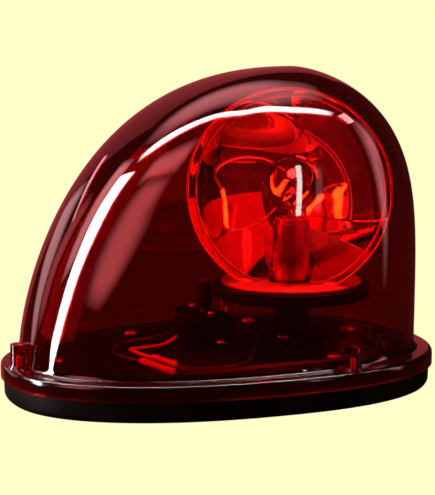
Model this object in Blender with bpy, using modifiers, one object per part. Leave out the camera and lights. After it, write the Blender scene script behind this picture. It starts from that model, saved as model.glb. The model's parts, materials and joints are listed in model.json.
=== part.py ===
"""Teardrop rotating warning beacon: red dome, friction-driven reflector, bayonet lamp, motor and base.

The nose points to -X and the blunt tail to +X.  The origin is the centre of the underside.
Sizes are written in millimetres, and MM turns them into Blender's metres.
"""
import math

import bmesh
import bpy
from mathutils import Matrix, Vector

MM = 0.001
GAP = 0.3                      # clearance between pieces that touch

# ---- flange outline, an egg that is wider at the tail
HALF_LENGTH = 95.0
HALF_WIDTH = 66.0
EGG_POWER = 2.35
EGG_TAPER = 0.13
SEGMENTS = 40

# ---- heights of the base stack
PAD_THICK = 2.0
TRAY_BOTTOM = 0.6
TRAY_FLOOR = 4.3
TRAY_STEP = 9.1
TRAY_RIM = 12.2
SKIRT_BOTTOM = TRAY_STEP + GAP
GASKET_BOTTOM = TRAY_RIM + GAP
GASKET_TOP = GASKET_BOTTOM + 0.7
FLANGE_BOTTOM = GASKET_TOP + GAP
FLANGE_TOP = 16.0
DECK_BOTTOM = 15.0
DECK_TOP = 16.5
DECK_INSET = 10.3

# ---- dome
WALL = 2.2
FOOT_INSET = 7.5
DOME_TOP = 137.3
APEX_X = 36.0
NOSE_POWERS = (2.34, 1.61)
TAIL_POWERS = (1.57, 4.65)
SIDE_POWERS = (2.0, 4.0)
TOP_EGG_POWER = 2.6
DOME_RINGS = 12
BOSS_RADIUS = 3.5
BOSS_TOP = 26.0
BOSSES = ((-89.9, 0.0), (33.0, 61.4), (33.0, -61.4))

# ---- rotor
AXIS_X = 36.0
REFLECTOR_HEADING = math.radians(37.0)     # opening turned from -Y towards the nose
DISC_RADIUS = 34.6
DISC_BOTTOM = 37.2
DISC_TOP = 42.2
SPINDLE_RADIUS = 5.5
BUSH_RADIUS = 6.8
HUB_RADIUS = 9.5
POST_RADIUS = 7.5
LAMP_HEIGHT = 83.0
DISH_RADIUS = 44.3
DISH_FOCUS = 18.0
DISH_WALL = 1.0
DISH_RIM_Y = 9.5
DISH_FOOT = DISC_TOP + GAP

# ---- lamp
SOCKET_RADIUS = 8.2
SOCKET_BOTTOM = 43.4
SOCKET_TOP = 69.0
SPINDLE_TOP = 47.0
CAP_RADIUS = 7.3
GLASS_RADIUS = 12.5
GLASS_TOP = 98.7
FILAMENT_LEGS = ((-5.2, -4.2), (-0.2, 2.6))

# ---- motor and friction drive
ROLLER_RADIUS = 4.0
ROLLER_BOTTOM = 31.0
ROLLER_TOP = 43.0
MOTOR_RADIUS = 13.5
MOTOR_BOTTOM = 6.2
MOTOR_TOP = 27.5
SHAFT_RADIUS = 1.0
MOTOR_BEARING = math.radians(154.3)        # direction from the rotor axis to the motor
MOTOR_REACH = DISC_RADIUS + ROLLER_RADIUS + GAP
MOTOR_X = AXIS_X + MOTOR_REACH * math.cos(MOTOR_BEARING)
MOTOR_Y = MOTOR_REACH * math.sin(MOTOR_BEARING)
STRAP_HEADING = math.radians(-89.0)
STRAP_SCREW_REACH = 9.6

# ---- fasteners on the deck
DECK_POSTS = ((-74.0, 0.0), (35.0, 41.0), (35.0, -41.0), (67.5, 4.4), (-25.0, 38.0))
PEDESTAL_FLANGE = 15.0
PEDESTAL_SCREWS = ((AXIS_X - 8.5, -8.5), (AXIS_X + 8.5, 8.5))
MAGNETS = (("front", -45.0), ("rear", 40.0))
MAGNET_RADIUS = 22.0
LEAD_RADIUS = 0.75
LIVE_SPLICE = (-36.4, -14.0)
RETURN_SPLICE = (-43.2, -18.0)
SPLICE_HEADING = math.radians(10.0)        # direction of both splices, from -Y towards +X
INLET_Z = 5.3
INLET_RADIUS = 2.7

for old in list(bpy.data.objects):
    bpy.data.objects.remove(old, do_unlink=True)
parts = bpy.data.collections.new("warning_beacon")
cutters = bpy.data.collections.new("cutters")
for group in (parts, cutters):
    bpy.context.scene.collection.children.link(group)


# ------------------------------------------------------------------ materials
def make_material(name, colour, roughness, metallic=0.0, transmission=0.0):
    mat = bpy.data.materials.new(name)
    mat.use_nodes = True
    shader = mat.node_tree.nodes["Principled BSDF"]
    shader.inputs["Base Color"].default_value = (*colour, 1.0)
    shader.inputs["Roughness"].default_value = roughness
    shader.inputs["Metallic"].default_value = metallic
    shader.inputs["Transmission Weight"].default_value = transmission
    return mat


RED_LENS = make_material("red_lens", (0.55, 0.005, 0.01), 0.06, transmission=0.9)
BLACK_PLASTIC = make_material("black_plastic", (0.012, 0.012, 0.013), 0.45)
BLACK_RUBBER = make_material("black_rubber", (0.02, 0.02, 0.02), 0.8)
BLACK_STEEL = make_material("black_steel", (0.03, 0.03, 0.032), 0.4, 0.6)
ZINC = make_material("zinc_steel", (0.55, 0.55, 0.56), 0.32, 1.0)
CHROME = make_material("chrome", (0.9, 0.9, 0.9), 0.05, 1.0)
BRASS = make_material("brass", (0.72, 0.5, 0.2), 0.3, 1.0)
BRONZE = make_material("bronze", (0.5, 0.3, 0.15), 0.4, 1.0)
FERRITE = make_material("ferrite", (0.05, 0.05, 0.055), 0.6)
CLEAR_GLASS = make_material("clear_glass", (0.95, 0.95, 0.95), 0.02, transmission=1.0)
TUNGSTEN = make_material("tungsten", (0.6, 0.5, 0.4), 0.4, 1.0)
BROWN_BAKELITE = make_material("brown_bakelite", (0.12, 0.05, 0.02), 0.5)
RED_LEAD = make_material("red_lead", (0.6, 0.01, 0.01), 0.4)
BLACK_LEAD = make_material("black_lead", (0.015, 0.015, 0.015), 0.45)


# ------------------------------------------------------------------ helpers
def add_object(name, mesh, mat=None, location=(0, 0, 0), rotation=(0, 0, 0), parent=None):
    obj = bpy.data.objects.new(name, mesh)
    (parts if mat else cutters).objects.link(obj)
    obj.location = Vector(location) * MM
    obj.rotation_euler = rotation
    if mat:
        mesh.materials.append(mat)
    else:
        obj.hide_render = True
        obj.display_type = "WIRE"
    if parent:
        obj.parent = parent
    return obj


def smooth(obj, angle=35.0):
    obj.data.shade_smooth()
    obj.data.set_sharp_from_angle(angle=math.radians(angle))


def turned(name, profile, mat=None, segments=24, closed=True, **place):
    """A profile of (radius, z) points, down its outer side first, turned about Z."""
    mesh = bpy.data.meshes.new(name)
    count = len(profile)
    edges = [(i, (i + 1) % count) for i in range(count if closed else count - 1)]
    mesh.from_pydata([(r * MM, 0.0, z * MM) for r, z in profile], edges, [])
    obj = add_object(name, mesh, mat, **place)
    screw = obj.modifiers.new("turn", "SCREW")
    screw.axis = "Z"
    screw.steps = segments
    screw.render_steps = segments
    screw.use_merge_vertices = True
    screw.merge_threshold = 0.00001
    screw.use_smooth_shade = True
    return obj


def rod(name, radius, bottom, top, mat=None, segments=24, **place):
    """An upright cylinder."""
    work = bmesh.new()
    middle = Matrix.Translation((0, 0, (bottom + top) / 2 * MM))
    bmesh.ops.create_cone(work, cap_ends=True, segments=segments, radius1=radius * MM,
                          radius2=radius * MM, depth=(top - bottom) * MM, matrix=middle)
    mesh = bpy.data.meshes.new(name)
    work.to_mesh(mesh)
    work.free()
    return add_object(name, mesh, mat, **place)


def block(name, size, mat=None, **place):
    """A box centred on its place."""
    work = bmesh.new()
    bmesh.ops.create_cube(work, size=1.0, matrix=Matrix.Diagonal((*[s * MM for s in size], 1.0)))
    mesh = bpy.data.meshes.new(name)
    work.to_mesh(mesh)
    work.free()
    return add_object(name, mesh, mat, **place)


def extruded(name, outline, width, mat=None, **place):
    """An (x, z) outline pushed out to both sides along Y."""
    work = bmesh.new()
    near = [work.verts.new((x * MM, -width / 2 * MM, z * MM)) for x, z in outline]
    face = work.faces.new(near)
    grown = bmesh.ops.extrude_face_region(work, geom=[face])["geom"]
    moved = [v for v in grown if isinstance(v, bmesh.types.BMVert)]
    bmesh.ops.translate(work, verts=moved, vec=(0, width * MM, 0))
    bmesh.ops.recalc_face_normals(work, faces=work.faces)
    mesh = bpy.data.meshes.new(name)
    work.to_mesh(mesh)
    work.free()
    return add_object(name, mesh, mat, **place)


def join(obj, tool, operation="DIFFERENCE"):
    step = obj.modifiers.new(tool.name, "BOOLEAN")
    step.operation = operation
    step.solver = "EXACT"
    step.object = tool


def lead(name, route, mat, radius=LEAD_RADIUS, rounding=3):
    """A wire along a smooth curve through its route, with rounding steps between its points."""
    points = [Vector(p) for p in route]
    line = []
    for i in range(len(points) - 1):
        before = points[max(i - 1, 0)]
        after = points[min(i + 2, len(points) - 1)]
        start, end = points[i], points[i + 1]
        for step in range(rounding):
            t = step / rounding
            line.append(0.5 * (2 * start + (end - before) * t
                               + (2 * before - 5 * start + 4 * end - after) * t * t
                               + (3 * start - before - 3 * end + after) * t ** 3))
    line.append(points[-1])
    curve = bpy.data.curves.new(name, "CURVE")
    curve.dimensions = "3D"
    curve.bevel_depth = radius * MM
    curve.bevel_resolution = 2
    curve.use_fill_caps = True
    spline = curve.splines.new("POLY")
    spline.points.add(len(line) - 1)
    for knot, place in zip(spline.points, line):
        knot.co = (*(place * MM), 1.0)
    curve.materials.append(mat)
    obj = bpy.data.objects.new(name, curve)
    parts.objects.link(obj)
    return obj


# ------------------------------------------------------------------ egg sections
def signed_power(value, power):
    return math.copysign(abs(value) ** power, value)


def egg_ring(nose, tail, half_width, power, taper, z):
    """One level section: a rounded outline from nose to tail, wider towards the tail."""
    ring = []
    for i in range(SEGMENTS):
        angle = 2 * math.pi * i / SEGMENTS
        along = signed_power(math.cos(angle), 2 / power)
        across = signed_power(math.sin(angle), 2 / power)
        x = (nose + tail) / 2 + (tail - nose) / 2 * along
        y = half_width * across * (1 + taper * along)
        ring.append(Vector((x, y, z)) * MM)
    return ring


def flange_ring(inset, z):
    reach = HALF_LENGTH - inset
    return egg_ring(-reach, reach, HALF_WIDTH - inset, EGG_POWER, EGG_TAPER, z)


def dome_ring(lift, inset):
    """The dome's section at a height of 0 (foot) to 1 (apex), for its outer or inner skin."""
    reach = HALF_LENGTH - FOOT_INSET - inset
    half = HALF_WIDTH - FOOT_INSET - inset
    nose = APEX_X - (APEX_X + reach) * (1 - lift ** NOSE_POWERS[1]) ** (1 / NOSE_POWERS[0])
    tail = APEX_X + (reach - APEX_X) * (1 - lift ** TAIL_POWERS[1]) ** (1 / TAIL_POWERS[0])
    half *= (1 - lift ** SIDE_POWERS[1]) ** (1 / SIDE_POWERS[0])
    power = EGG_POWER + (TOP_EGG_POWER - EGG_POWER) * lift
    top = DOME_TOP - inset
    z = FLANGE_TOP + (top - FLANGE_TOP) * lift
    return egg_ring(nose, tail, half, power, EGG_TAPER * (1 - lift), z)


def loft(name, rings, mat, ends="cap"):
    """Skin a chain of equal rings.  ends: cap, loop, or the two end points that close it."""
    work = bmesh.new()
    rows = [[work.verts.new(p) for p in ring] for ring in rings]
    pairs = list(zip(rows, rows[1:]))
    if ends == "loop":
        pairs.append((rows[-1], rows[0]))
    for low, high in pairs:
        for i in range(SEGMENTS):
            j = (i + 1) % SEGMENTS
            work.faces.new((low[i], low[j], high[j], high[i]))
    if ends == "cap":
        work.faces.new(list(reversed(rows[0])))
        work.faces.new(rows[-1])
    elif ends != "loop":
        for row, tip in zip((rows[0], rows[-1]), ends):
            peak = work.verts.new(tip)
            for i in range(SEGMENTS):
                work.faces.new((row[i], row[(i + 1) % SEGMENTS], peak))
    bmesh.ops.recalc_face_normals(work, faces=work.faces)
    mesh = bpy.data.meshes.new(name)
    work.to_mesh(mesh)
    work.free()
    return add_object(name, mesh, mat)


# ------------------------------------------------------------------ screws
def pan_screw(name, head_radius, head_height, shank_radius, length, **place):
    """Pan-head screw with its head's underside at z 0 and its shank below."""
    profile = [(0, head_height), (head_radius * 0.6, head_height * 0.92),
               (head_radius, head_height * 0.4), (head_radius, 0), (shank_radius, 0),
               (shank_radius, -length), (0, -length)]
    return turned(name, profile, ZINC, segments=12, closed=False, **place)


# ------------------------------------------------------------------ base
def build_base():
    tray = loft("base_tray", [
        flange_ring(9.0, PAD_THICK + GAP), flange_ring(9.0, TRAY_BOTTOM),
        flange_ring(2.4, TRAY_BOTTOM), flange_ring(1.8, 1.1), flange_ring(1.5, 2.2),
        flange_ring(1.3, TRAY_STEP), flange_ring(2.6, TRAY_STEP), flange_ring(2.6, TRAY_RIM),
        flange_ring(10.4, TRAY_RIM), flange_ring(10.8, TRAY_FLOOR)], BLACK_PLASTIC)
    for number, (x, y) in enumerate(DECK_POSTS, 1):
        post = rod(f"post_{number}", 4.0, TRAY_FLOOR - 1.0, DECK_BOTTOM - GAP, segments=16,
                   location=(x, y, 0))
        join(tray, post, "UNION")
        hole = rod(f"post_hole_{number}", 1.7, TRAY_FLOOR + 0.5, DECK_TOP, segments=12,
                   location=(x, y, 0))
        join(tray, hole)
    for number, (x, y) in enumerate(BOSSES, 1):
        join(tray, rod(f"head_pocket_{number}", 2.6, -1.0, 4.9, segments=16, location=(x, y, 0)))
        join(tray, rod(f"screw_way_{number}", 1.8, 4.0, 14.0, segments=12, location=(x, y, 0)))
    inlet = rod("inlet_hole", INLET_RADIUS, -5.0, 8.0, segments=20,
                location=(HALF_LENGTH - 6.0, 0, INLET_Z), rotation=(0, math.pi / 2, 0))
    join(tray, inlet)
    loft("base_pad", [flange_ring(9.3, 0), flange_ring(9.3, PAD_THICK)], BLACK_RUBBER)

    neck = INLET_RADIUS - GAP
    grommet = [(3.7, 1.0), (3.7, 0.1), (neck, 0.1), (neck, -8.0), (1.7, -8.0), (1.7, 1.0)]
    turned("cable_grommet", grommet, BLACK_RUBBER, segments=20,
           location=(HALF_LENGTH - 1.3 + GAP, 0, INLET_Z), rotation=(0, math.pi / 2, 0))

    for number, (x, y) in enumerate(BOSSES, 1):
        pan_screw(f"dome_screw_{number}", 2.3, 1.6, 1.4, 16.5, location=(x, y, 4.6),
                  rotation=(math.pi, 0, 0))

    for place, x in MAGNETS:
        ring = [(MAGNET_RADIUS, 9.0), (MAGNET_RADIUS, TRAY_FLOOR + GAP),
                (6.0, TRAY_FLOOR + GAP), (6.0, 9.0)]
        turned(f"magnet_{place}", ring, FERRITE, segments=32, location=(x, 0, 0))
        plate = [(MAGNET_RADIUS + 1, 10.7), (MAGNET_RADIUS + 1, 9.3), (3.0, 9.3), (3.0, 10.7)]
        turned(f"magnet_plate_{place}", plate, ZINC, segments=32, location=(x, 0, 0))


# ------------------------------------------------------------------ dome
def build_dome():
    lifts = [math.sin(math.pi / 2 * i / DOME_RINGS) for i in range(DOME_RINGS)]
    outer = [flange_ring(0, SKIRT_BOTTOM), flange_ring(0, FLANGE_TOP - 1.2),
             flange_ring(0.4, FLANGE_TOP - 0.4), flange_ring(1.3, FLANGE_TOP),
             flange_ring(FOOT_INSET - 0.9, FLANGE_TOP)]
    outer += [dome_ring(lift, 0) for lift in lifts[1:]]
    inner = [flange_ring(2.2, SKIRT_BOTTOM), flange_ring(2.2, FLANGE_BOTTOM),
             flange_ring(FOOT_INSET + WALL, FLANGE_BOTTOM)]
    inner += [dome_ring(lift, WALL) for lift in lifts]
    apex = Vector((APEX_X, 0, DOME_TOP)) * MM
    inner_apex = Vector((APEX_X, 0, DOME_TOP - WALL)) * MM
    dome = loft("dome", list(reversed(inner)) + outer, RED_LENS, ends=(inner_apex, apex))
    for number, (x, y) in enumerate(BOSSES, 1):
        boss = rod(f"boss_{number}", BOSS_RADIUS, FLANGE_BOTTOM + 0.8, BOSS_TOP, segments=20,
                   location=(x, y, 0))
        join(dome, boss, "UNION")
        join(dome, rod(f"boss_hole_{number}", 1.7, SKIRT_BOTTOM - 3, BOSS_TOP - 3.5, segments=12,
                       location=(x, y, 0)))
    smooth(dome)

    gasket = loft("dome_gasket", [
        flange_ring(3.0, GASKET_BOTTOM), flange_ring(3.0, GASKET_TOP),
        flange_ring(9.6, GASKET_TOP), flange_ring(9.6, GASKET_BOTTOM)], BLACK_RUBBER, ends="loop")
    for number, (x, y) in enumerate(BOSSES, 1):
        join(gasket, rod(f"gasket_hole_{number}", 1.9, 10, 16, segments=14, location=(x, y, 0)))


# ------------------------------------------------------------------ deck
def build_deck():
    rings = [flange_ring(DECK_INSET, DECK_BOTTOM), flange_ring(DECK_INSET, DECK_TOP)]
    deck = loft("chassis_plate", rings, BLACK_STEEL)
    join(deck, rod("motor_hole", MOTOR_RADIUS + 0.5, 5, 20, segments=32,
                   location=(MOTOR_X, MOTOR_Y, 0)))
    for number, (x, y) in enumerate(DECK_POSTS, 1):
        join(deck, rod(f"deck_hole_{number}", 1.8, 5, 20, segments=12, location=(x, y, 0)))
        pan_screw(f"chassis_screw_{number}", 3.2, 2.0, 1.4, 7.0, location=(x, y, DECK_TOP + GAP))
    join(deck, rod("lead_way", 4.6, 5, 20, segments=20, location=(79.5, 0, 0)))
    for number, (x, y) in enumerate(PEDESTAL_SCREWS, 1):
        join(deck, rod(f"pedestal_tap_{number}", 1.8, 5, 20, segments=12, location=(x, y, 0)))

    foot = DECK_TOP + GAP
    column = [(POST_RADIUS, 36.2), (POST_RADIUS, foot + 5), (9.0, foot + 2.8),
              (PEDESTAL_FLANGE, foot + 2.8), (PEDESTAL_FLANGE, foot), (2.6, foot),
              (2.6, SPINDLE_TOP), (SPINDLE_RADIUS, SPINDLE_TOP), (SPINDLE_RADIUS, 36.2)]
    pedestal = turned("pedestal", column, BLACK_PLASTIC, location=(AXIS_X, 0, 0))
    for number, (x, y) in enumerate(PEDESTAL_SCREWS, 1):
        hole = rod(f"flange_hole_{number}", 1.7, 10, 22, segments=12, location=(x, y, 0))
        join(pedestal, hole)
        pan_screw(f"pedestal_screw_{number}", 2.8, 1.8, 1.3, 4.3,
                  location=(x, y, foot + 2.8 + GAP))
    port = block("lead_port", (14, 4.0, 8.0), location=(AXIS_X - 7, 0, foot + 6.6))
    join(pedestal, port)


# ------------------------------------------------------------------ motor and friction roller
def build_motor():
    at = (MOTOR_X, MOTOR_Y, 0)
    can = [(3.2, MOTOR_TOP + 0.2), (3.2, MOTOR_TOP), (MOTOR_RADIUS - 1.6, MOTOR_TOP),
           (MOTOR_RADIUS - 0.5, MOTOR_TOP - 0.5), (MOTOR_RADIUS, MOTOR_TOP - 1.6),
           (MOTOR_RADIUS, MOTOR_BOTTOM), (1.4, MOTOR_BOTTOM), (1.4, MOTOR_TOP + 0.2)]
    shell = turned("motor_can", can, BLACK_STEEL, segments=32, location=at)
    for side in (-1, 1):
        x = MOTOR_X + side * STRAP_SCREW_REACH * math.cos(STRAP_HEADING)
        y = MOTOR_Y + side * STRAP_SCREW_REACH * math.sin(STRAP_HEADING)
        tap = rod(f"motor_tap_{side}", 1.5, MOTOR_TOP - 3.5, MOTOR_TOP + 2, segments=12,
                  location=(x, y, 0))
        join(shell, tap)
    cap_top = MOTOR_BOTTOM - GAP
    cap = [(0, cap_top), (MOTOR_RADIUS - 0.4, cap_top), (MOTOR_RADIUS - 0.4, TRAY_FLOOR + GAP),
           (0, TRAY_FLOOR + GAP)]
    turned("motor_end_cap", cap, BROWN_BAKELITE, closed=False, location=at)

    low, high, thick = DECK_TOP + GAP, MOTOR_TOP + 0.4, 1.4
    half, foot = MOTOR_RADIUS + 0.8, MOTOR_RADIUS + 9.0
    right = [(foot, low), (foot, low + thick), (half + thick, low + thick),
             (half + thick, high + thick)]
    under = [(half, high), (half, low)]
    outline = right + [(-x, z) for x, z in reversed(right)]
    outline += [(-x, z) for x, z in reversed(under)] + under
    strap = extruded("motor_bracket", outline, 13.0, BLACK_STEEL, location=at,
                     rotation=(0, 0, STRAP_HEADING))
    join(strap, rod("shaft_way", 3.6, 25, 32, segments=20, location=at))
    direction = Vector((math.cos(STRAP_HEADING), math.sin(STRAP_HEADING), 0))
    centre = Vector(at)
    for number, side in enumerate((-1, 1), 1):
        spot = centre + direction * STRAP_SCREW_REACH * side
        join(strap, rod(f"strap_hole_{number}", 1.5, 25, 32, segments=12, location=spot))
        pan_screw(f"motor_screw_{number}", 2.4, 1.6, 1.1, 3.6,
                  location=spot + Vector((0, 0, high + thick + GAP)))
        spot = centre + direction * (foot - 3.2) * side
        join(strap, rod(f"foot_hole_{number}", 1.5, 10, 22, segments=12, location=spot))
        join(bpy.data.objects["chassis_plate"],
             rod(f"bracket_tap_{number}", 1.5, 5, 20, segments=12, location=spot))
        pan_screw(f"bracket_screw_{number}", 2.6, 1.6, 1.1, 3.6,
                  location=spot + Vector((0, 0, low + thick + GAP)))

    pivot = bpy.data.objects.new("motor_axis", None)
    pivot.location = centre * MM
    parts.objects.link(pivot)
    rod("motor_shaft", SHAFT_RADIUS, 10.0, ROLLER_TOP + 0.8, ZINC, segments=16, parent=pivot)
    lower_flange = ROLLER_BOTTOM + 1.2
    sleeve = [(ROLLER_RADIUS, ROLLER_TOP - 0.4), (ROLLER_RADIUS, lower_flange + 0.2),
              (3.0, lower_flange), (3.0, ROLLER_BOTTOM), (SHAFT_RADIUS + GAP, ROLLER_BOTTOM),
              (SHAFT_RADIUS + GAP, ROLLER_TOP), (ROLLER_RADIUS - 0.4, ROLLER_TOP)]
    turned("drive_roller", sleeve, BLACK_RUBBER, segments=24, parent=pivot)


# ------------------------------------------------------------------ rotor
def build_rotor():
    pivot = bpy.data.objects.new("rotor_axis", None)
    pivot.location = (AXIS_X * MM, 0, 0)
    pivot.rotation_euler = (0, 0, -REFLECTOR_HEADING)
    parts.objects.link(pivot)

    disc = [(DISC_RADIUS - 0.5, DISC_TOP), (DISC_RADIUS, DISC_TOP - 0.5),
            (DISC_RADIUS, DISC_BOTTOM), (DISC_RADIUS - 2.2, DISC_BOTTOM),
            (DISC_RADIUS - 2.6, 40.0), (HUB_RADIUS, 40.0), (HUB_RADIUS, DISC_BOTTOM - 0.5),
            (BUSH_RADIUS + GAP, DISC_BOTTOM - 0.5), (BUSH_RADIUS + GAP, DISC_TOP)]
    table = turned("turntable", disc, BLACK_PLASTIC, segments=40, parent=pivot)
    bush = [(BUSH_RADIUS, DISC_TOP), (BUSH_RADIUS, DISC_BOTTOM - 0.5),
            (SPINDLE_RADIUS + GAP, DISC_BOTTOM - 0.5), (SPINDLE_RADIUS + GAP, DISC_TOP)]
    turned("turntable_bush", bush, BRONZE, parent=pivot)
    washer = [(7.6, DISC_TOP + 0.9), (7.6, DISC_TOP + GAP), (SPINDLE_RADIUS + GAP, DISC_TOP + GAP),
              (SPINDLE_RADIUS + GAP, DISC_TOP + 0.9)]
    turned("thrust_washer", washer, ZINC, location=(AXIS_X, 0, 0))

    # The dish is turned about Z with its opening up, then tipped so that it opens along -Y.
    vertex = -DISH_FOCUS
    front, back = [], []
    rings = 7
    for i in range(rings + 1):
        radius = DISH_RADIUS * i / rings
        rise = radius ** 2 / (4 * DISH_FOCUS)
        front.append((radius, vertex + rise))
        slope = math.atan(radius / (2 * DISH_FOCUS))
        back.append((radius + DISH_WALL * math.sin(slope),
                     vertex + rise - DISH_WALL * math.cos(slope)))
    back[0] = (0, vertex - DISH_WALL)
    back[-1] = (DISH_RADIUS + 0.9, back[-1][1])
    lip = [(DISH_RADIUS, DISH_RIM_Y + 1.0), (DISH_RADIUS + 0.9, DISH_RIM_Y + 1.0)]
    dish = turned("reflector", front + lip + list(reversed(back)), CHROME, segments=36,
                  closed=False, parent=pivot, location=(0, 0, LAMP_HEIGHT),
                  rotation=(math.pi / 2, 0, 0))
    foot = [(31.0, DISH_FOOT + 1.1), (31.0, DISH_FOOT), (10.4, DISH_FOOT),
            (10.4, DISH_FOOT + 1.1)]
    foot_plate = turned("dish_foot", foot, segments=40, parent=pivot)
    join(dish, block("dish_trim", (120, 80, 40), parent=pivot,
                     location=(0, 0, DISH_FOOT - 20)))
    join(dish, foot_plate, "UNION")
    join(dish, rod("lamp_way", 10.0, 30, 66, segments=28, parent=pivot))
    for number, side in enumerate((-1, 1), 1):
        spot = (side * 13.0, 19.0, 0)
        join(dish, rod(f"dish_hole_{number}", 1.5, 40, 46, segments=12, parent=pivot, location=spot))
        join(table, rod(f"table_hole_{number}", 1.5, 36, 46, segments=12, parent=pivot,
                        location=spot))
        screw_spot = (spot[0], spot[1], DISH_FOOT + 1.1 + GAP)
        pan_screw(f"reflector_screw_{number}", 2.6, 1.6, 1.1, 4.6, parent=pivot,
                  location=screw_spot)


# ------------------------------------------------------------------ lamp holder and lamp
def build_lamp():
    at = (AXIS_X, 0, 0)
    bore = SOCKET_RADIUS - 0.6
    tube = [(SOCKET_RADIUS, SOCKET_TOP), (SOCKET_RADIUS, SOCKET_BOTTOM),
            (SPINDLE_RADIUS + GAP, SOCKET_BOTTOM), (SPINDLE_RADIUS + GAP, SOCKET_BOTTOM + 2),
            (bore, SOCKET_BOTTOM + 2), (bore, SOCKET_TOP)]
    socket = turned("lamp_socket", tube, ZINC, location=at)
    for side in (-1, 1):
        slot_x = AXIS_X + side * SOCKET_RADIUS
        join(socket, block(f"pin_slot_{side}", (4, 2.6, 9), location=(slot_x, 0, SOCKET_TOP - 3.5)))
        join(socket, block(f"pin_lock_{side}", (5, 5.2, 2.6),
                           location=(slot_x, side * 2.6, SOCKET_TOP - 6.6)))

    insulator = [(0, 54.0), (bore - GAP, 54.0), (bore - GAP, 51.8), (0, 51.8)]
    disc = turned("socket_insulator", insulator, BROWN_BAKELITE, closed=False, location=at)
    join(disc, rod("plunger_way", 1.6, 50, 56, segments=16, location=at))
    plunger = [(0, 55.3), (1.3, 55.0), (1.3, 51.0), (4.4, 51.0), (4.4, 50.2), (0, 50.2)]
    turned("contact_plunger", plunger, BRASS, segments=16, closed=False, location=at)

    turns, per_turn = 3, 9
    low, high = SPINDLE_TOP + 0.55, 49.65
    coil = []
    for i in range(turns * per_turn + 1):
        angle = 2 * math.pi * i / per_turn
        height = low + (high - low) * i / (turns * per_turn)
        coil.append((AXIS_X + 3.7 * math.cos(angle), 3.7 * math.sin(angle), height))
    lead("contact_spring", coil, ZINC, radius=0.22, rounding=1)

    cap_bottom = 56.6
    cap = [(CAP_RADIUS, 71.0), (CAP_RADIUS, cap_bottom), (2.6, cap_bottom), (2.6, cap_bottom + 0.5),
           (CAP_RADIUS - 0.5, cap_bottom + 0.5), (CAP_RADIUS - 0.5, 71.0)]
    brass = turned("bulb_cap", cap, BRASS, location=at)
    pins = rod("bulb_pins", 1.0, -(SOCKET_RADIUS + 0.6), SOCKET_RADIUS + 0.6, segments=12,
               location=(AXIS_X, 0, SOCKET_TOP - 6.6), rotation=(0, math.pi / 2, math.radians(26)))
    hollow = rod("pins_bore", CAP_RADIUS - 0.3, 55, 72, segments=24, location=at)
    join(pins, hollow)
    join(brass, pins, "UNION")
    button = [(0, cap_bottom + 0.4), (2.3, cap_bottom + 0.4), (2.3, cap_bottom - 0.6),
              (0, cap_bottom - 0.9)]
    turned("bulb_contact", button, TUNGSTEN, segments=16, closed=False, location=at)

    # Pear-shaped envelope: a ball on a neck that reaches down into the cap.
    wall, neck, ball = 0.7, CAP_RADIUS - 0.8, GLASS_TOP - GLASS_RADIUS
    steps = 7
    low = math.acos(neck / GLASS_RADIUS)
    shell = []
    for i in range(steps + 1):
        angle = math.pi / 2 - (math.pi / 2 + low) * i / steps
        shell.append((math.cos(angle), math.sin(angle)))
    outer = [(GLASS_RADIUS * c, ball + GLASS_RADIUS * s) for c, s in shell]
    inside = [((GLASS_RADIUS - wall) * c, ball + (GLASS_RADIUS - wall) * s) for c, s in shell]
    outer[0] = (0, GLASS_TOP)
    inside[0] = (0, GLASS_TOP - wall)
    ends = [(neck, 62.0), (neck - wall, 62.0)]
    turned("bulb_glass", outer + ends + list(reversed(inside)), CLEAR_GLASS, segments=20,
           closed=False, location=at)
    stem = [(0, 77.0), (1.6, 76.6), (2.0, 70.0), (4.6, 64.0), (4.6, 62.6), (0, 62.6)]
    turned("bulb_stem", stem, CLEAR_GLASS, segments=16, closed=False, location=at)
    (near_x, near_y), (far_x, far_y) = FILAMENT_LEGS
    wire = [(near_x * 0.2, near_y * 0.2, 77.5), (near_x * 0.85, near_y * 0.85, 78.0),
            (near_x, near_y, 79.0), (near_x, near_y, 85.4), (far_x, far_y, 85.4),
            (far_x, far_y, 79.0), (far_x, far_y * 0.85, 78.0), (far_x, far_y * 0.3, 77.5)]
    lead("bulb_filament", [(AXIS_X + x, y, z) for x, y, z in wire], TUNGSTEN, radius=0.3,
         rounding=2)


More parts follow.
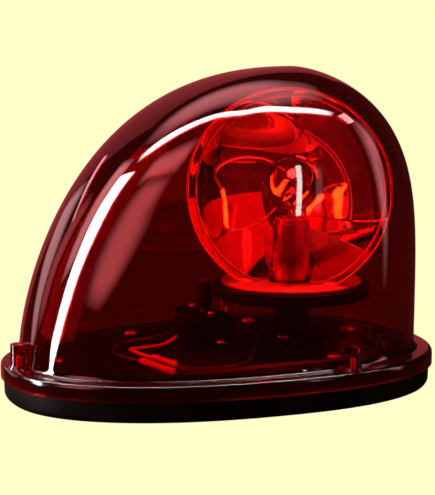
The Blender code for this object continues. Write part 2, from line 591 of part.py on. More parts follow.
# ------------------------------------------------------------------ wiring
def build_wiring():
    low = DECK_TOP + GAP + LEAD_RADIUS + 0.2
    apart, pair = 0.9, 0.8
    run = Vector((math.sin(SPLICE_HEADING), -math.cos(SPLICE_HEADING)))
    ends = {}
    for name, start, length in (("splice_live", LIVE_SPLICE, 19.0),
                                ("splice_return", RETURN_SPLICE, 26.0)):
        crimp = [(0, -GAP), (1.0, -GAP), (1.4, -GAP - 0.5), (1.4, GAP + 0.5 - length),
                 (1.0, GAP - length), (0, GAP - length)]
        turned(name, crimp, RED_LEAD, segments=16, closed=False,
               location=(*start, low + 0.7), rotation=(-math.pi / 2, 0, SPLICE_HEADING))
        ends[name] = Vector(start) + run * length
    (live_x, live_y), (return_x, return_y) = LIVE_SPLICE, RETURN_SPLICE
    lead("lead_motor_live", [(MOTOR_X - 14.6, MOTOR_Y - 4, low + 2), (-22, 6, low + 0.8),
                             (-30, 6.2, low), (-38, 6, low), (-37.8, -3, low),
                             (live_x, live_y + 2.5, low), (live_x, live_y, low)], RED_LEAD)
    lead("lead_motor_return", [(MOTOR_X - 14.6, MOTOR_Y + 2, low + 2), (-24, 21, low + 0.5),
                               (-38, 17, low), (-46.5, 5, low), (-46, -8, low),
                               (return_x, return_y + 3, low), (return_x, return_y, low)],
         BLACK_LEAD)
    x, y = ends["splice_live"]
    lead("lead_lamp", [(x + apart, y, low), (-27, -39.5, low), (-15, -42, low), (-5, -38, low),
                       (6, -24, low), (13, -11, low + 1.2), (20, -3, low + 4.0),
                       (28, -0.4, low + 5.0), (33, 0, low + 5.6), (35.4, 0, low + 8.5),
                       (AXIS_X, 0, low + 13), (AXIS_X, 0, 40), (AXIS_X, 0, 48.8)], BLACK_LEAD)
    lead("lead_supply_live", [(x - apart, y - 0.3, low), (-31.5, -41.5, low), (-19, -46, low),
                              (0, -47, low), (30, -47.6, low), (52, -42.5, low),
                              (63.5, -28, low), (66, -14, low), (70, -3, low),
                              (76, 1.2, low), (79.8, apart, low - 3), (80.6, apart, 9.5),
                              (82.4, pair, INLET_Z + 1), (84.6, pair, INLET_Z),
                              (90, pair, INLET_Z)], BLACK_LEAD)
    x, y = ends["splice_return"]
    lead("lead_supply_return", [(x, y, low), (-36, -46, low), (-27, -48.4, low),
                                (-15, -49.4, low), (0, -50, low), (30, -50.4, low),
                                (54, -45.2, low), (66.0, -30, low), (68.4, -15, low),
                                (73, -6, low), (77, -1.4, low), (79.8, -apart, low - 3),
                                (80.6, -apart, 9.5), (82.4, -pair, INLET_Z + 1),
                                (84.6, -pair, INLET_Z), (90, -pair, INLET_Z)], BLACK_LEAD)


build_base()
build_dome()
build_deck()
build_motor()
build_rotor()
build_lamp()
build_wiring()
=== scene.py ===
import json
import math

import bmesh
import bpy
from mathutils import Matrix, Vector


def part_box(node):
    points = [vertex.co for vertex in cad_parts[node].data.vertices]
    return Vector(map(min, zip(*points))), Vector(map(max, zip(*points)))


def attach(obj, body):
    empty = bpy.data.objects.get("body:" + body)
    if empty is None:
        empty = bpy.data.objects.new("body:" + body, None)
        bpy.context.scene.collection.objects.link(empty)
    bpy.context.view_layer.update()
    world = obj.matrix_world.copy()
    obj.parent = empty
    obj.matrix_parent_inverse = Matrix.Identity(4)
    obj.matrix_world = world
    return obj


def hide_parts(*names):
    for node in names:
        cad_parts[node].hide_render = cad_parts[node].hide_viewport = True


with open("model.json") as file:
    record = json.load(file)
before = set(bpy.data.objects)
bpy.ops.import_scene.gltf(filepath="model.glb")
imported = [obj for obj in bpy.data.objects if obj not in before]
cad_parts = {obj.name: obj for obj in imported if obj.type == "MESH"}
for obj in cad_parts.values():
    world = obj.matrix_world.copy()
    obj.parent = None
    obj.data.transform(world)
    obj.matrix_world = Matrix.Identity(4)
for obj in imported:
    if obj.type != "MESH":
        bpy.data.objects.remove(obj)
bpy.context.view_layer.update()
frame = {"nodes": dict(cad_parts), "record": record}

MM = 0.001
GAP = 0.3
SMOOTH_ANGLE = math.radians(32.0)
LYING = Matrix.Rotation(math.pi / 2, 4, "Y")
RECORD = frame["record"]
SLOT_OF = {entry["node"]: entry["material_slot"] for entry in RECORD["subparts"]}
BODY_OF = {node: body for body, nodes in RECORD["behaviour"]["bodies"].items() for node in nodes}


# ------------------------------------------------------------------ places read from the frame
def box_mm(node):
    """A node's lowest and highest corner in millimetres."""
    low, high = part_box(node)
    return Vector(low) / MM, Vector(high) / MM


def middle(node):
    low, high = box_mm(node)
    return (low + high) / 2


AXIS = middle("turntable_bush")
MOTOR = middle("drive_roller")
DISH_TURN = -math.radians(37.0)            # the opening's heading at rest, from -Y towards the nose
DISH_SKIN = 43.6                           # the dish's satin foot lies below this height
STRAP_TURN = math.radians(-89.0)
LIVE_SPLICE = (-36.4, -14.0)
RETURN_SPLICE = (-43.2, -18.0)
SPLICE_HEADING = math.radians(10.0)
HALF_LENGTH = 95.0
HALF_WIDTH = 66.0
EGG_POWER = 2.35
EGG_TAPER = 0.13
FLANGE_TOP = 16.0
FOOT_INSET = 7.5
WALL = 2.2
DOME_TOP = box_mm("dome")[1].z
APEX_X = 36.0
NOSE_POWERS = (2.34, 1.61)
TAIL_POWERS = (1.57, 4.65)
SIDE_POWERS = (2.0, 4.0)
TOP_EGG_POWER = 2.6
BOSSES = [middle(f"dome_screw_{n}") for n in (1, 2, 3)]
BOSS_TOP = 26.0
SATIN_BLEND = 1.5                          # height over which a satin skin turns glossy


# ------------------------------------------------------------------ materials
def new_material(name):
    """An empty material with its node tree and its main shader."""
    mat = bpy.data.materials.new(name)
    mat.use_nodes = True
    tree = mat.node_tree
    return mat, tree, tree.nodes["Principled BSDF"]


def link(tree, source, target):
    tree.links.new(source, target)


def node(tree, kind, **inputs):
    """A node with its inputs set; an underscore stands for a space in an input's name."""
    made = tree.nodes.new(kind)
    for key, value in inputs.items():
        made.inputs[key.replace("_", " ")].default_value = value
    return made


def place_noise(tree, scale, detail=6.0, stretch=(1, 1, 1)):
    """Noise in object space, scale in features per metre."""
    coords = tree.nodes.new("ShaderNodeTexCoord")
    mapping = tree.nodes.new("ShaderNodeMapping")
    mapping.inputs["Scale"].default_value = stretch
    noise = node(tree, "ShaderNodeTexNoise", Scale=scale, Detail=detail)
    link(tree, coords.outputs["Object"], mapping.inputs["Vector"])
    link(tree, mapping.outputs["Vector"], noise.inputs["Vector"])
    return noise


def ramp(tree, source, stops):
    """A colour ramp of (position, colour or grey) stops."""
    made = tree.nodes.new("ShaderNodeValToRGB")
    while len(made.color_ramp.elements) < len(stops):
        made.color_ramp.elements.new(0.5)
    for element, (position, colour) in zip(made.color_ramp.elements, stops):
        element.position = position
        grey = isinstance(colour, (int, float))
        element.color = (colour, colour, colour, 1) if grey else (*colour, 1)
    link(tree, source, made.inputs["Fac"])
    return made.outputs["Color"]


def turn_satin(tree, shader, rough, height, satin):
    """A skin that is as rough as satin below a height and as rough above it."""
    place = tree.nodes.new("ShaderNodeTexCoord")
    split = tree.nodes.new("ShaderNodeSeparateXYZ")
    level = tree.nodes.new("ShaderNodeMapRange")
    level.inputs["From Min"].default_value = height * MM
    level.inputs["From Max"].default_value = (height + SATIN_BLEND) * MM
    level.inputs["To Min"].default_value = satin
    level.inputs["To Max"].default_value = rough
    link(tree, place.outputs["Object"], split.inputs["Vector"])
    link(tree, split.outputs["Z"], level.inputs["Value"])
    link(tree, level.outputs["Result"], shader.inputs["Roughness"])


def surface(name, light, dark, rough, metallic=0.0, scale=60.0, grain=900.0, bump=0.05,
            stretch=(1, 1, 1), specular=0.5, satin=None):
    """Colour and roughness that wander slowly, over a fine grain."""
    mat, tree, shader = new_material(name)
    slow = place_noise(tree, scale)
    fine = place_noise(tree, grain, 3.0, stretch)
    link(tree, ramp(tree, slow.outputs["Fac"], [(0.35, dark), (0.7, light)]),
         shader.inputs["Base Color"])
    if satin:
        turn_satin(tree, shader, rough[0], *satin)
    else:
        link(tree, ramp(tree, slow.outputs["Fac"], [(0.3, rough[0]), (0.75, rough[1])]),
             shader.inputs["Roughness"])
    shader.inputs["Metallic"].default_value = metallic
    shader.inputs["Specular IOR Level"].default_value = specular
    relief = node(tree, "ShaderNodeBump", Strength=bump, Distance=0.0004)
    link(tree, fine.outputs["Fac"], relief.inputs["Height"])
    link(tree, relief.outputs["Normal"], shader.inputs["Normal"])
    return mat


def clear(name, tint, rough, ior, shade, ripple=0.0, satin=None):
    """Clear plastic or glass that lets tinted light through in its shadow.

    Below the height given first in satin, its skin grows as rough as the second.
    """
    mat, tree, shader = new_material(name)
    cloud = place_noise(tree, 30.0, 3.0)
    deep = [c * 0.92 for c in tint]
    link(tree, ramp(tree, cloud.outputs["Fac"], [(0.3, deep), (0.7, tint)]),
         shader.inputs["Base Color"])
    shader.inputs["Roughness"].default_value = rough
    shader.inputs["IOR"].default_value = ior
    shader.inputs["Transmission Weight"].default_value = 1.0
    if satin:
        turn_satin(tree, shader, rough, *satin)
    if ripple:
        waves = place_noise(tree, 45.0, 2.0)
        relief = node(tree, "ShaderNodeBump", Strength=ripple, Distance=0.0004)
        link(tree, waves.outputs["Fac"], relief.inputs["Height"])
        link(tree, relief.outputs["Normal"], shader.inputs["Normal"])
    through = node(tree, "ShaderNodeBsdfTransparent", Color=(*shade, 1))
    path = tree.nodes.new("ShaderNodeLightPath")
    mix = tree.nodes.new("ShaderNodeMixShader")
    link(tree, path.outputs["Is Shadow Ray"], mix.inputs["Fac"])
    link(tree, shader.outputs["BSDF"], mix.inputs[1])
    link(tree, through.outputs["BSDF"], mix.inputs[2])
    link(tree, mix.outputs["Shader"], tree.nodes["Material Output"].inputs["Surface"])
    return mat


def glowing(name, colour, strength):
    """Hot wire, its glow colour wandering in fine noise between deep orange and the given colour.
    """
    mat, tree, shader = new_material(name)
    heat = place_noise(tree, 900.0, 2.0)
    link(tree, ramp(tree, heat.outputs["Fac"], [(0.3, (1.0, 0.45, 0.02)), (0.7, colour)]),
         shader.inputs["Emission Color"])
    shader.inputs["Base Color"].default_value = (0.4, 0.35, 0.3, 1)
    shader.inputs["Emission Strength"].default_value = strength
    shader.inputs["Roughness"].default_value = 0.4
    return mat


MATERIALS = {
    "red_lens": clear("red_lens", (0.6, 0.006, 0.01), 0.012, 1.49, (0.62, 0.03, 0.03), 0.02,
                      satin=(FLANGE_TOP, 0.13)),
    "black_plastic": surface("black_plastic", (0.006, 0.006, 0.006), (0.003, 0.003, 0.003),
                             (0.42, 0.55), bump=0.1, specular=0.06),
    "black_rubber": surface("black_rubber", (0.018, 0.018, 0.018), (0.009, 0.009, 0.009),
                            (0.65, 0.85), grain=1500.0, bump=0.25, specular=0.3),
    "black_steel": surface("black_steel", (0.003, 0.003, 0.003), (0.0015, 0.0015, 0.0015),
                           (0.4, 0.52), bump=0.08, specular=0.05),
    "zinc_steel": surface("zinc_steel", (0.6, 0.59, 0.56), (0.42, 0.41, 0.4), (0.22, 0.4), 1.0,
                          grain=700.0, bump=0.08, stretch=(1, 1, 8)),
    "chrome": surface("chrome", (0.92, 0.92, 0.92), (0.84, 0.84, 0.84), (0.012, 0.03),
                      1.0, scale=35.0, grain=90.0, bump=0.012, satin=(DISH_SKIN, 0.4)),
    "satin_chrome": surface("satin_chrome", (0.92, 0.92, 0.92), (0.84, 0.84, 0.84), (0.28, 0.36),
                            1.0, scale=35.0, grain=200.0, bump=0.05),
    "brass": surface("brass", (0.75, 0.55, 0.26), (0.52, 0.36, 0.15), (0.25, 0.42), 1.0),
    "bronze": surface("bronze", (0.5, 0.31, 0.15), (0.32, 0.2, 0.1), (0.4, 0.6), 1.0,
                      grain=1800.0, bump=0.25),
    "ferrite": surface("ferrite", (0.07, 0.07, 0.075), (0.04, 0.04, 0.045), (0.5, 0.7),
                       grain=1500.0, bump=0.2),
    "clear_glass": clear("clear_glass", (0.98, 0.98, 0.98), 0.0, 1.5, (0.95, 0.95, 0.95)),
    "tungsten": glowing("tungsten", (1.0, 0.85, 0.03), 500.0),
    "solder": surface("solder", (0.6, 0.6, 0.6), (0.4, 0.4, 0.4), (0.3, 0.5), 1.0),
    "bakelite": surface("bakelite", (0.17, 0.07, 0.03), (0.1, 0.04, 0.015), (0.35, 0.5)),
    "red_lead": surface("red_lead", (0.75, 0.02, 0.015), (0.5, 0.01, 0.01), (0.3, 0.42),
                        bump=0.05),
    "black_lead": surface("black_lead", (0.02, 0.02, 0.02), (0.01, 0.01, 0.01), (0.3, 0.42),
                          bump=0.05),
}


# ------------------------------------------------------------------ mesh helpers
def mesh_piece(name, work):
    """Finish a bmesh as a smooth-shaded object."""
    bmesh.ops.recalc_face_normals(work, faces=work.faces)
    mesh = bpy.data.meshes.new(name)
    work.to_mesh(mesh)
    work.free()
    obj = bpy.data.objects.new(name, mesh)
    bpy.context.scene.collection.objects.link(obj)
    mesh.shade_smooth()
    mesh.set_sharp_from_angle(angle=SMOOTH_ANGLE)
    return obj


def rounded(points, radius, closed=False, steps=4):
    """The outline with its corners turned into short arcs."""
    points = [Vector(p) for p in points]
    if radius <= 0:
        return points
    count = len(points)
    line = []
    for i, corner in enumerate(points):
        if not closed and i in (0, count - 1):
            line.append(corner)
            continue
        before = points[i - 1] - corner
        after = points[(i + 1) % count] - corner
        cut = min(radius, before.length * 0.45, after.length * 0.45)
        start, end = corner + before.normalized() * cut, corner + after.normalized() * cut
        for step in range(steps + 1):
            t = step / steps
            line.append(start * (1 - t) ** 2 + corner * 2 * t * (1 - t) + end * t * t)
    return line


def skin(rows, work, loop=False):
    """Faces between rows of vertices; a row of one vertex is a tip."""
    pairs = list(zip(rows, rows[1:]))
    if loop:
        pairs.append((rows[-1], rows[0]))
    for low, high in pairs:
        count = max(len(low), len(high))
        for i in range(count):
            j = (i + 1) % count
            face = [low[i % len(low)], low[j % len(low)], high[j % len(high)], high[i % len(high)]]
            work.faces.new(list(dict.fromkeys(face)))


def lathe(name, profile, radius=0.3, segments=64, closed=True, matrix=None, steps=3):
    """A profile of (radius, z) in millimetres, its corners rounded, turned about Z."""
    work = bmesh.new()
    rows = []
    for r, z in rounded(profile, radius, closed, steps):
        if r < 1e-6:
            rows.append([work.verts.new((0, 0, z * MM))])
            continue
        turns = [2 * math.pi * i / segments for i in range(segments)]
        rows.append([work.verts.new((r * math.cos(a) * MM, r * math.sin(a) * MM, z * MM))
                     for a in turns])
    skin(rows, work, loop=closed)
    if matrix:
        bmesh.ops.transform(work, matrix=matrix, verts=work.verts)
    return mesh_piece(name, work)


def at(place, turn=0.0, tip=None):
    """Matrix for a piece at a place in millimetres, turned about Z after being tipped."""
    matrix = Matrix.Translation(Vector(place) * MM) @ Matrix.Rotation(turn, 4, "Z")
    return matrix @ tip if tip else matrix


def box_piece(name, size, matrix):
    """A plain block of a size in millimetres, for cutting."""
    work = bmesh.new()
    bmesh.ops.create_cube(work, size=1.0, matrix=Matrix.Diagonal((*[s * MM for s in size], 1.0)))
    bmesh.ops.transform(work, matrix=matrix, verts=work.verts)
    return mesh_piece(name, work)


def drum(name, radius, low, high, place, segments=32, tip=None, turn=0.0):
    """A plain upright cylinder, for cutting and joining."""
    return lathe(name, [(0, high), (radius, high), (radius, low), (0, low)], 0.0, segments,
                 closed=False, matrix=at(place, turn, tip))


def holes_at(name, numbers, radius, low, high):
    """Drums through the numbered screws of one name."""
    spots = [middle(f"{name}_{n}") for n in numbers]
    return [drum("hole", radius, low, high, (spot.x, spot.y, 0)) for spot in spots]


def join(obj, tools, operation="DIFFERENCE"):
    """Cut the tools from obj, or unite them with it, for good."""
    for tool in tools:
        step = obj.modifiers.new("join", "BOOLEAN")
        step.operation = operation
        step.solver = "EXACT"
        step.object = tool
        view = bpy.context.evaluated_depsgraph_get()
        fresh = bpy.data.meshes.new_from_object(obj.evaluated_get(view))
        obj.modifiers.clear()
        obj.data = fresh
        bpy.data.objects.remove(tool, do_unlink=True)
    obj.data.shade_smooth()
    obj.data.set_sharp_from_angle(angle=SMOOTH_ANGLE)
    return obj


def finish_piece(obj, node_name):
    """Dress a piece, let it ride with its CAD node's body and stand for that node."""
    slot = SLOT_OF[node_name]
    obj.data.materials.clear()
    obj.data.materials.append(MATERIALS[slot])
    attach(obj, BODY_OF[node_name])
    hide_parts(node_name)


def add_piece(obj, body, slot, material=None):
    """Dress a piece that has no CAD node of its own."""
    obj.data.materials.clear()
    obj.data.materials.append(MATERIALS[material or slot])
    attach(obj, body)


def smooth_line(route, steps=8):
    """A smooth line through the route's points."""
    points = [Vector(p) for p in route]
    line = []
    for i in range(len(points) - 1):
        before = points[max(i - 1, 0)]
        after = points[min(i + 2, len(points) - 1)]
        start, end = points[i], points[i + 1]
        for step in range(steps):
            t = step / steps
            line.append(0.5 * (2 * start + (end - before) * t
                               + (2 * before - 5 * start + 4 * end - after) * t * t
                               + (3 * start - before - 3 * end + after) * t ** 3))
    line.append(points[-1])
    return line


def wire(name, line, radius, sides=4):
    """A round wire along a line of points in millimetres."""
    curve = bpy.data.curves.new(name, "CURVE")
    curve.dimensions = "3D"
    curve.bevel_depth = radius * MM
    curve.bevel_resolution = sides
    curve.use_fill_caps = True
    spline = curve.splines.new("POLY")
    spline.points.add(len(line) - 1)
    for knot, place in zip(spline.points, line):
        knot.co = (*(Vector(place) * MM), 1.0)
    spline.use_smooth = True
    obj = bpy.data.objects.new(name, curve)
    bpy.context.scene.collection.objects.link(obj)
    return obj


# ------------------------------------------------------------------ egg sections
SEGMENTS = 144
DOME_LEVELS = 56


def signed_power(value, power):
    """A power that keeps the value's sign."""
    return math.copysign(abs(value) ** power, value)


def egg_ring(nose, tail, half_width, power, taper, z):
    """A ring from nose to tail, squarer with a higher power and wider towards the tail."""
    ring = []
    for i in range(SEGMENTS):
        angle = 2 * math.pi * i / SEGMENTS
        along = signed_power(math.cos(angle), 2 / power)
        across = signed_power(math.sin(angle), 2 / power)
        x = (nose + tail) / 2 + (tail - nose) / 2 * along
        ring.append(Vector((x, half_width * across * (1 + taper * along), z)) * MM)
    return ring


def flange_ring(inset, z):
    """The flange's outline, drawn in by an inset."""
    reach = HALF_LENGTH - inset
    return egg_ring(-reach, reach, HALF_WIDTH - inset, EGG_POWER, EGG_TAPER, z)


def dome_ring(lift, inset):
    """The dome's section at a height of 0 (foot) to 1 (apex), for its outer or inner skin."""
    reach = HALF_LENGTH - FOOT_INSET - inset
    half = HALF_WIDTH - FOOT_INSET - inset
    nose = APEX_X - (APEX_X + reach) * (1 - lift ** NOSE_POWERS[1]) ** (1 / NOSE_POWERS[0])
    tail = APEX_X + (reach - APEX_X) * (1 - lift ** TAIL_POWERS[1]) ** (1 / TAIL_POWERS[0])
    half *= (1 - lift ** SIDE_POWERS[1]) ** (1 / SIDE_POWERS[0])
    power = EGG_POWER + (TOP_EGG_POWER - EGG_POWER) * lift
    z = FLANGE_TOP + (DOME_TOP - inset - FLANGE_TOP) * lift
    return egg_ring(nose, tail, half, power, EGG_TAPER * (1 - lift), z)


def loft(name, rings, ends="cap"):
    """Skin a chain of rings.  ends: cap, loop, or the two tips that close it."""
    work = bmesh.new()
    rows = [[work.verts.new(p) for p in ring] for ring in rings]
    if ends == "cap":
        skin(rows, work)
        work.faces.new(rows[0])
        work.faces.new(rows[-1])
    elif ends == "loop":
        skin(rows, work, loop=True)
    else:
        rows = [[work.verts.new(ends[0])]] + rows + [[work.verts.new(ends[1])]]
        skin(rows, work)
    return mesh_piece(name, work)


def egg_body(name, profile, radius, ends="cap", steps=3):
    """A profile of (inset, z) swept round the flange outline."""
    line = rounded(profile, radius, ends == "loop", steps)
    return loft(name, [flange_ring(inset, z) for inset, z in line], ends)


# ------------------------------------------------------------------ dome
def make_dome():
    low = box_mm("dome")[0].z
    under = box_mm("dome_gasket")[1].z + GAP
    rim = rounded([(0.0, low), (0.0, FLANGE_TOP), (FOOT_INSET, FLANGE_TOP),
                   (FOOT_INSET, FLANGE_TOP + 6)], 2.4, steps=7)[:-1]
    outer = [flange_ring(inset, z) for inset, z in rim]
    lifts = [math.sin(math.pi / 2 * i / DOME_LEVELS) for i in range(DOME_LEVELS)]
    outer += [dome_ring(lift, 0) for lift in lifts[1:]]
    inner = [flange_ring(2.2, low), flange_ring(2.2, under), flange_ring(FOOT_INSET + WALL, under)]
    inner += [dome_ring(lift, WALL) for lift in lifts]
    tips = (Vector((APEX_X, 0, DOME_TOP - WALL)) * MM, Vector((APEX_X, 0, DOME_TOP)) * MM)
    dome = loft("dome_shell", list(reversed(inner)) + outer, ends=tips)
    for place in BOSSES:
        spot = (place.x, place.y, 0)
        boss = lathe("boss", [(0, BOSS_TOP), (3.5, BOSS_TOP), (3.6, FLANGE_TOP + 1.0),
                              (5.0, FLANGE_TOP - 0.4), (3.2, under + 0.8), (0, under + 0.8)],
                     0.5, 40, closed=False, matrix=at(spot))
        join(dome, [boss], "UNION")
        join(dome, [drum("boss_hole", 1.7, low - 3, BOSS_TOP - 3.5, spot)])
    finish_piece(dome, "dome")


# ------------------------------------------------------------------ base
def make_tray():
    base_low = box_mm("base_tray")[0].z
    rim = box_mm("base_tray")[1].z
    step = box_mm("dome")[0].z - GAP
    pad_top = box_mm("base_pad")[1].z
    tray = egg_body("base_shell", [
        (9.0, pad_top + GAP), (9.0, base_low), (2.4, base_low), (1.5, 2.2), (1.3, step),
        (2.6, step), (2.6, rim), (10.4, rim), (10.8, 4.3)], 0.5)
    deck_low = box_mm("chassis_plate")[0].z
    join(tray, holes_at("chassis_screw", range(1, 6), 4.0, 3.3, deck_low - GAP), "UNION")
    holes = holes_at("chassis_screw", range(1, 6), 1.7, 4.8, 18)
    for place in BOSSES:
        holes.append(drum("pocket", 2.6, -1, 4.9, (place.x, place.y, 0)))
        holes.append(drum("way", 1.8, 4, 14, (place.x, place.y, 0)))
    inlet = middle("cable_grommet").z
    holes.append(drum("inlet", 2.7, -6, 8, (HALF_LENGTH - 5, 0, inlet), tip=LYING))
    join(tray, holes)
    finish_piece(tray, "base_tray")


def make_pad():
    pad = egg_body("base_foot_pad", [(9.3, 0), (9.3, box_mm("base_pad")[1].z)], 0.0)
    finish_piece(pad, "base_pad")


def make_gasket():
    low, high = box_mm("dome_gasket")
    gasket = egg_body("gasket_ring", [(3.0, low.z), (3.0, high.z), (9.6, high.z), (9.6, low.z)],
                      0.25, "loop")
    join(gasket, [drum("gasket_hole", 1.9, 10, 16, (p.x, p.y, 0)) for p in BOSSES])
    finish_piece(gasket, "dome_gasket")


def make_grommet():
    neck = 2.4
    inlet = middle("cable_grommet").z
    grommet = lathe("inlet_grommet", [(3.7, 1.0), (3.7, 0.1), (neck, 0.1), (neck, -8.0),
                                      (1.7, -8.0), (1.7, 1.0)], 0.3,
                    matrix=at((HALF_LENGTH - 1.0, 0, inlet), tip=LYING))
    finish_piece(grommet, "cable_grommet")


# ------------------------------------------------------------------ screws
def make_screw(node_name, head_radius, head_height, shank_radius, length, up=1, turn=0.0):
    """A pan head with a cross recess, over a threaded shank."""
    low, high = box_mm(node_name)
    spot = middle(node_name)
    seat = high.z - head_height if up > 0 else low.z + head_height
    tip = None if up > 0 else Matrix.Rotation(math.pi, 4, "X")
    matrix = at((spot.x, spot.y, seat), turn, tip)
    r = head_radius
    profile = [(0, head_height), (r * 0.45, head_height * 0.97), (r * 0.8, head_height * 0.78),
               (r, head_height * 0.35), (r, 0)]
    thread = []
    pitch = 0.9
    turns = int((length - 0.6) / pitch)
    for i in range(turns):
        z = -0.4 - i * pitch
        thread += [(shank_radius * 0.8, z), (shank_radius, z - pitch * 0.5)]
    profile += [(shank_radius * 0.8, 0)] + thread + [(shank_radius * 0.5, -length), (0, -length)]
    screw = lathe(f"{node_name}_detail", profile, 0.12, 24, closed=False, matrix=matrix, steps=2)
    deep = head_height * 0.6
    cross = []
    for quarter in (0, 1):
        slot = matrix @ Matrix.Translation((0, 0, (head_height - deep / 2 + 0.2) * MM))
        slot = slot @ Matrix.Rotation(quarter * math.pi / 2, 4, "Z")
        cross.append(box_piece("slot", (r * 1.15, r * 0.26, deep + 0.4), slot))
    join(screw, cross)
    finish_piece(screw, node_name)


def make_screws():
    for n in range(1, 4):
        make_screw(f"dome_screw_{n}", 2.3, 1.6, 1.4, 16.5, up=-1, turn=n)
    for n in range(1, 6):
        make_screw(f"chassis_screw_{n}", 3.2, 2.0, 1.4, 7.0, turn=n * 1.3)
    for n in (1, 2):
        make_screw(f"pedestal_screw_{n}", 2.8, 1.8, 1.3, 4.3, turn=n * 0.7)
        make_screw(f"motor_screw_{n}", 2.4, 1.6, 1.1, 3.6, turn=n * 0.9)
        make_screw(f"bracket_screw_{n}", 2.6, 1.6, 1.1, 3.6, turn=n * 1.1)
        make_screw(f"reflector_screw_{n}", 2.6, 1.6, 1.1, 4.6, turn=n * 0.5)


# ------------------------------------------------------------------ deck
def make_deck():
    low, high = box_mm("chassis_plate")
    edge = 10.3
    deck = egg_body("deck_plate", [(edge + 3, low.z), (edge, low.z), (edge, high.z),
                                   (edge + 3, high.z)], 0.5)
    holes = [drum("hole", 14.0, 5, 20, (MOTOR.x, MOTOR.y, 0), 64),
             drum("hole", 4.6, 5, 20, (79.5, 0, 0))]
    holes += holes_at("chassis_screw", range(1, 6), 1.8, 5, 20)
    holes += holes_at("pedestal_screw", (1, 2), 1.8, 5, 20)
    holes += holes_at("bracket_screw", (1, 2), 1.5, 5, 20)
    join(deck, holes)
    finish_piece(deck, "chassis_plate")


def make_pedestal():
    foot = box_mm("chassis_plate")[1].z + GAP
    top = box_mm("pedestal")[1].z
    column = [(7.5, 36.2), (7.5, foot + 5), (9.0, foot + 2.8), (15.0, foot + 2.8), (15.0, foot),
              (2.6, foot), (2.6, top), (5.5, top), (5.5, 36.2)]
    spot = (AXIS.x, AXIS.y, 0)
    pedestal = lathe("pedestal_post", column, 0.6, matrix=at(spot))
    cuts = holes_at("pedestal_screw", (1, 2), 1.7, 10, 22)
    cuts.append(box_piece("port", (14, 4.0, 8.0), at((AXIS.x - 7, 0, foot + 6.6))))
    join(pedestal, cuts)
    finish_piece(pedestal, "pedestal")


# ------------------------------------------------------------------ motor
MOTOR_SPOT = (MOTOR.x, MOTOR.y, 0)
MOTOR_RADIUS = (box_mm("motor_can")[1].x - box_mm("motor_can")[0].x) / 2


def make_motor():
    low, high = box_mm("motor_can")
    r = MOTOR_RADIUS
    top = high.z - 0.2
    can = lathe("motor_body", [(3.2, top + 0.2), (3.2, top), (r, top), (r, low.z), (1.4, low.z),
                               (1.4, top + 0.2)], 1.4, 96, matrix=at(MOTOR_SPOT), steps=6)
    join(can, holes_at("motor_screw", (1, 2), 1.5, top - 3.5, top + 2))
    finish_piece(can, "motor_can")
    low, high = box_mm("motor_end_cap")
    end = lathe("motor_end_bell", [(0, high.z), (r - 0.4, high.z), (r - 0.4, low.z), (0, low.z)],
                0.4, 64, closed=False, matrix=at(MOTOR_SPOT))
    finish_piece(end, "motor_end_cap")


def make_strap():
    """The strap over the motor, a folded strip seen from its side and drawn out to its width."""
    low, high = box_mm("motor_bracket")
    thick, width = 1.4, 13.0
    under = high.z - thick
    half, foot = MOTOR_RADIUS + 0.8, MOTOR_RADIUS + 9.0
    right = [(foot, low.z), (foot, low.z + thick), (half + thick, low.z + thick),
             (half + thick, high.z)]
    below = [(half, under), (half, low.z)]
    outline = right + [(-x, z) for x, z in reversed(right)]
    outline += [(-x, z) for x, z in reversed(below)] + below
    work = bmesh.new()
    near = [work.verts.new((x * MM, -width / 2 * MM, z * MM))
            for x, z in rounded(outline, 0.8, True)]
    face = work.faces.new(near)
    grown = bmesh.ops.extrude_face_region(work, geom=[face])["geom"]
    far = [v for v in grown if isinstance(v, bmesh.types.BMVert)]
    bmesh.ops.translate(work, verts=far, vec=(0, width * MM, 0))
    bmesh.ops.transform(work, matrix=at(MOTOR_SPOT, STRAP_TURN), verts=work.verts)
    strap = mesh_piece("motor_strap", work)
    holes = [drum("way", 3.6, 25, 32, MOTOR_SPOT)]
    holes += holes_at("motor_screw", (1, 2), 1.5, 25, 32)
    holes += holes_at("bracket_screw", (1, 2), 1.5, 10, 22)
    join(strap, holes)
    finish_piece(strap, "motor_bracket")


def make_drive():
    low, high = box_mm("motor_shaft")
    shaft = lathe("motor_spindle", [(0, high.z), (1.0, high.z), (1.0, low.z), (0, low.z)], 0.3, 32,
                  closed=False, matrix=at(MOTOR_SPOT))
    finish_piece(shaft, "motor_shaft")
    low, high = box_mm("drive_roller")
    ridges = []
    count = 5
    for i in range(count):
        z = high.z - 0.6 - i * (high.z - low.z - 2.2) / count
        ridges += [(4.0, z), (4.0, z - 1.2), (3.8, z - 1.45), (3.8, z - 1.75)]
    sleeve = [(3.6, high.z)] + ridges + [(3.0, low.z + 1.2), (3.0, low.z), (1.3, low.z),
                                         (1.3, high.z)]
    roller = lathe("drive_sleeve", sleeve, 0.15, 48, matrix=at(MOTOR_SPOT), steps=2)
    finish_piece(roller, "drive_roller")


# ------------------------------------------------------------------ rotor
AXIS_SPOT = (AXIS.x, AXIS.y, 0)


